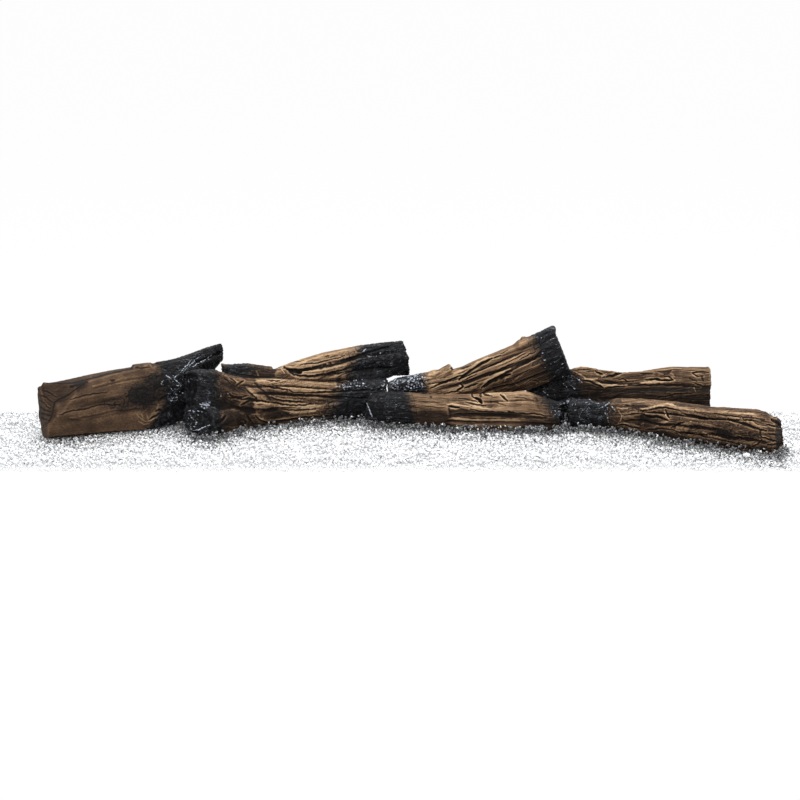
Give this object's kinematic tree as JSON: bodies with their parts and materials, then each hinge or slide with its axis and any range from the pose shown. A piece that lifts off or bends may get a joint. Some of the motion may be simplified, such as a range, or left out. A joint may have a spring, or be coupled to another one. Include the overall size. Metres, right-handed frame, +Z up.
{
  "type": "electric fireplace log set",
  "caption": "Half-burnt driftwood-look logs with burnt black ends, laid loose on a long flat bed of clear crystals, as the dressing of a linear electric fireplace.",
  "frame": {"origin": "middle of the underside of the crystal bed", "axes": "+X along the bed to the right as seen from the front, +Y to the back, +Z up"},
  "size_m": [1.4048, 0.3456, 0.1719],
  "materials": {
    "resin_log": "cast resin painted as driftwood: mid brown with dark grain, black soot at the burnt ends and pale dry-brushed ash on their edges",
    "crystal": "clear broken crystals with bright facets"
  },
  "bodies": {
    "crystal_bed": {"crystal_bed": "crystal", "loose_crystal_1": "crystal", "loose_crystal_2": "crystal", "loose_crystal_3": "crystal", "loose_crystal_4": "crystal", "loose_crystal_5": "crystal", "loose_crystal_6": "crystal", "loose_crystal_7": "crystal", "loose_crystal_8": "crystal", "loose_crystal_9": "crystal", "loose_crystal_10": "crystal", "loose_crystal_11": "crystal", "loose_crystal_12": "crystal", "loose_crystal_13": "crystal", "loose_crystal_14": "crystal", "loose_crystal_15": "crystal", "loose_crystal_16": "crystal"},
    "left_log": {"left_log": "resin_log"},
    "forked_log": {"forked_log": "resin_log"},
    "front_log": {"front_log": "resin_log"},
    "leaning_log": {"leaning_log": "resin_log"},
    "back_right_log": {"back_right_log": "resin_log"},
    "right_log": {"right_log": "resin_log"}
  },
  "joints": [
    {"name": "left_log_lift", "type": "slide", "parent": "crystal_bed", "child": "left_log", "axis": [0, 0, 1], "range_m": [0, 0.2]},
    {"name": "forked_log_lift", "type": "slide", "parent": "crystal_bed", "child": "forked_log", "axis": [0, 0, 1], "range_m": [0, 0.2]},
    {"name": "front_log_lift", "type": "slide", "parent": "crystal_bed", "child": "front_log", "axis": [0, 0, 1], "range_m": [0, 0.2]},
    {"name": "leaning_log_lift", "type": "slide", "parent": "back_right_log", "child": "leaning_log", "axis": [0, 0, 1], "range_m": [0, 0.2]},
    {"name": "back_right_log_lift", "type": "slide", "parent": "crystal_bed", "child": "back_right_log", "axis": [0, 0, 1], "range_m": [0, 0.2]},
    {"name": "right_log_lift", "type": "slide", "parent": "crystal_bed", "child": "right_log", "axis": [0, 0, 1], "range_m": [0, 0.2]}
  ]
}
